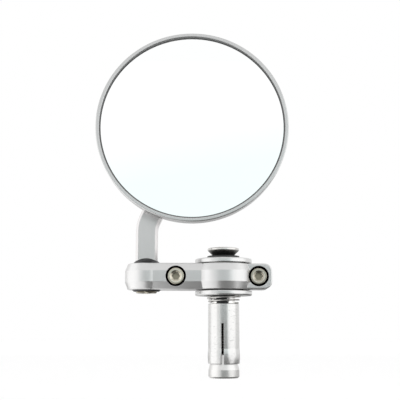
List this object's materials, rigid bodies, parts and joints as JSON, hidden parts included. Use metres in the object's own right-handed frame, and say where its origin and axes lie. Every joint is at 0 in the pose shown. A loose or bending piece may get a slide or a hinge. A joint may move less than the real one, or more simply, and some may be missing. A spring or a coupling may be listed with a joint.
{
  "type": "motorcycle bar end mirror",
  "caption": "Round mirror on a bent stem that turns on a ball in a split clamp arm, which swings on a spool held in a handlebar's end by an expanding plug.",
  "frame": {"origin": "centre of the lower flange's underside, which meets the handlebar's end face", "axes": "+Z along the bar's axis and out of the bar, -X towards the ball end of the arm, -Y the way the mirror's glass looks"},
  "size_m": [0.0794, 0.0264, 0.1416],
  "materials": {
    "spool_core": "black anodised",
    "flanges": "satin silver",
    "arm": "bead blasted silver",
    "clamp_screws": "nickel plated",
    "pivot_ball": "black anodised",
    "pivot_screw": "bright plated",
    "stem": "satin silver",
    "pad_screws": "nickel plated",
    "housing": "satin silver",
    "glass": "convex mirror",
    "glass_bed": "black soft ring",
    "sleeve": "turned, bright",
    "cone_nut": "turned",
    "draw_bolt": "black oxide, rim and top of the head turned bright",
    "spring": "drawn wire"
  },
  "bodies": {
    "spool": {"spool_core": "spool_core", "upper_flange": "flanges", "lower_flange": "flanges", "expander_sleeve": "sleeve", "sleeve_spring": "spring"},
    "arm": {"arm_front": "arm", "arm_back": "arm", "web_screw": "clamp_screws", "lug_screw": "clamp_screws"},
    "ball": {"pivot_ball": "pivot_ball", "pivot_screw": "pivot_screw"},
    "head": {"mirror_stem": "stem", "pad_screw_lower": "pad_screws", "pad_screw_upper": "pad_screws", "mirror_housing": "housing", "mirror_glass": "glass", "glass_bed": "glass_bed"},
    "bolt": {"draw_bolt": "draw_bolt"},
    "cone": {"cone_nut": "cone_nut"}
  },
  "joints": [
    {"name": "arm_swing", "type": "hinge", "parent": "spool", "child": "arm", "pos_m": [0, 0, 0.00775], "axis": [0, 0, 1], "continuous": true},
    {"name": "ball_tilt", "type": "hinge", "parent": "arm", "child": "ball", "pos_m": [-0.0319, 0, 0.00775], "axis": [1, 0, 0], "range_deg": [-6.5, 6.5]},
    {"name": "mirror_swivel", "type": "hinge", "parent": "ball", "child": "head", "pos_m": [-0.0319, 0, 0.00775], "axis": [0, 0, 1], "continuous": true},
    {"name": "bolt_turn", "type": "hinge", "parent": "spool", "child": "bolt", "pos_m": [0, 0, 0], "axis": [0, 0, 1], "range_deg": [-361, 1081]},
    {"name": "cone_slide", "type": "slide", "parent": "spool", "child": "cone", "axis": [0, 0, 1], "range_m": [-0.003, 0.001]}
  ],
  "couplings": [
    {"joint": "bolt_turn", "follows": "cone_slide", "rad_per_m": -6283.2}
  ]
}
